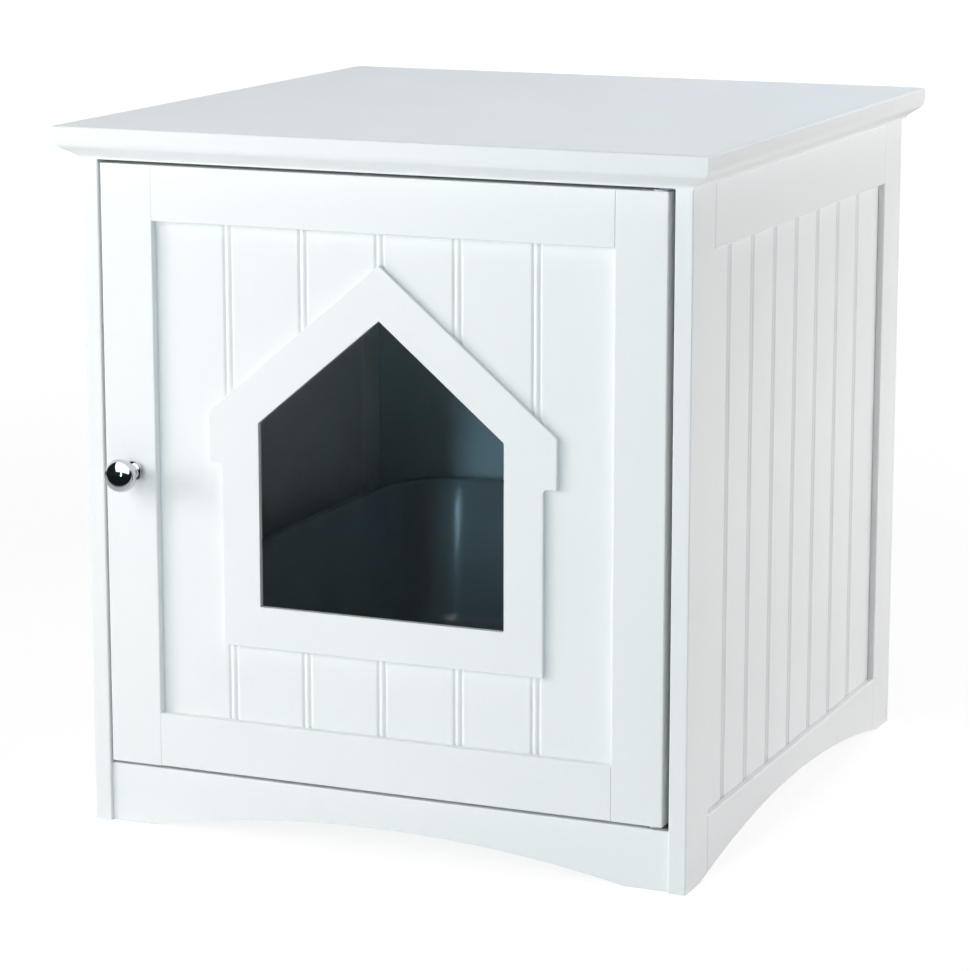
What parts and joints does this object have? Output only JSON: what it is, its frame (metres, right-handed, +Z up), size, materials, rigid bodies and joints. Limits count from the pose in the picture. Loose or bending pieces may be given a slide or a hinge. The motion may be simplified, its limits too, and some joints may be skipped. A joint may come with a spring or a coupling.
{
  "type": "cat house",
  "caption": "White cabinet-style cat house with a beadboard door that has a house-shaped way in, hinged on corner pivots, and a litter tray inside.",
  "frame": {"origin": "on the floor, under the middle of the whole object, knob and top board included", "axes": "+Z up, -Y towards the door's side, +X to the right of someone facing the door"},
  "size_m": [0.49, 0.525, 0.511],
  "materials": {
    "painted_top": "satin white paint on fibreboard",
    "painted_frame": "satin white paint on fibreboard",
    "painted_panel": "satin white paint on fibreboard",
    "painted_inside": "satin white paint on fibreboard",
    "chrome_knob": "polished chrome plate",
    "zinc_steel": "zinc plated",
    "nylon": "moulded nylon",
    "beech_dowel": "fluted beech",
    "ferrite": "sintered ferrite",
    "tray_plastic": "glossy moulded polypropylene"
  },
  "bodies": {
    "cabinet": {"top_board": "painted_top", "floor_board": "painted_inside", "back_board": "painted_inside", "front_apron": "painted_frame", "left_front_stile": "painted_frame", "left_rear_stile": "painted_frame", "left_top_rail": "painted_frame", "left_bottom_rail": "painted_frame", "left_beadboard": "painted_panel", "right_front_stile": "painted_frame", "right_rear_stile": "painted_frame", "right_top_rail": "painted_frame", "right_bottom_rail": "painted_frame", "right_beadboard": "painted_panel", "left_corner_block": "painted_inside", "right_corner_block": "painted_inside", "block_screws": "zinc_steel", "top_cam_bolts": "zinc_steel", "top_cam_discs": "zinc_steel", "floor_cam_bolts": "zinc_steel", "floor_cam_discs": "zinc_steel", "top_dowels": "beech_dowel", "apron_dowels": "beech_dowel", "back_screws": "zinc_steel", "lower_hinge_plate": "zinc_steel", "upper_hinge_plate": "zinc_steel", "lower_hinge_pin": "zinc_steel", "upper_hinge_pin": "zinc_steel", "hinge_screws": "zinc_steel", "catch_housing": "nylon", "catch_magnet": "ferrite", "catch_pole_plates": "zinc_steel", "catch_screws": "zinc_steel"},
    "door": {"door_hinge_stile": "painted_frame", "door_latch_stile": "painted_frame", "door_top_rail": "painted_frame", "door_bottom_rail": "painted_frame", "door_beadboard": "painted_panel", "house_trim": "painted_frame", "knob": "chrome_knob", "knob_screw": "zinc_steel", "strike_plate": "zinc_steel", "strike_screws": "zinc_steel", "lower_hinge_bush": "nylon", "upper_hinge_bush": "nylon"},
    "tray": {"litter_tray": "tray_plastic"}
  },
  "joints": [
    {"name": "door_hinge", "type": "hinge", "parent": "cabinet", "child": "door", "pos_m": [0.205, -0.2245, 0.0465], "axis": [0, 0, 1], "range_deg": [0, 105]},
    {"name": "tray_slide", "type": "slide", "parent": "cabinet", "child": "tray", "axis": [0, 1, 0], "range_m": [-0.026, 0.026]}
  ]
}
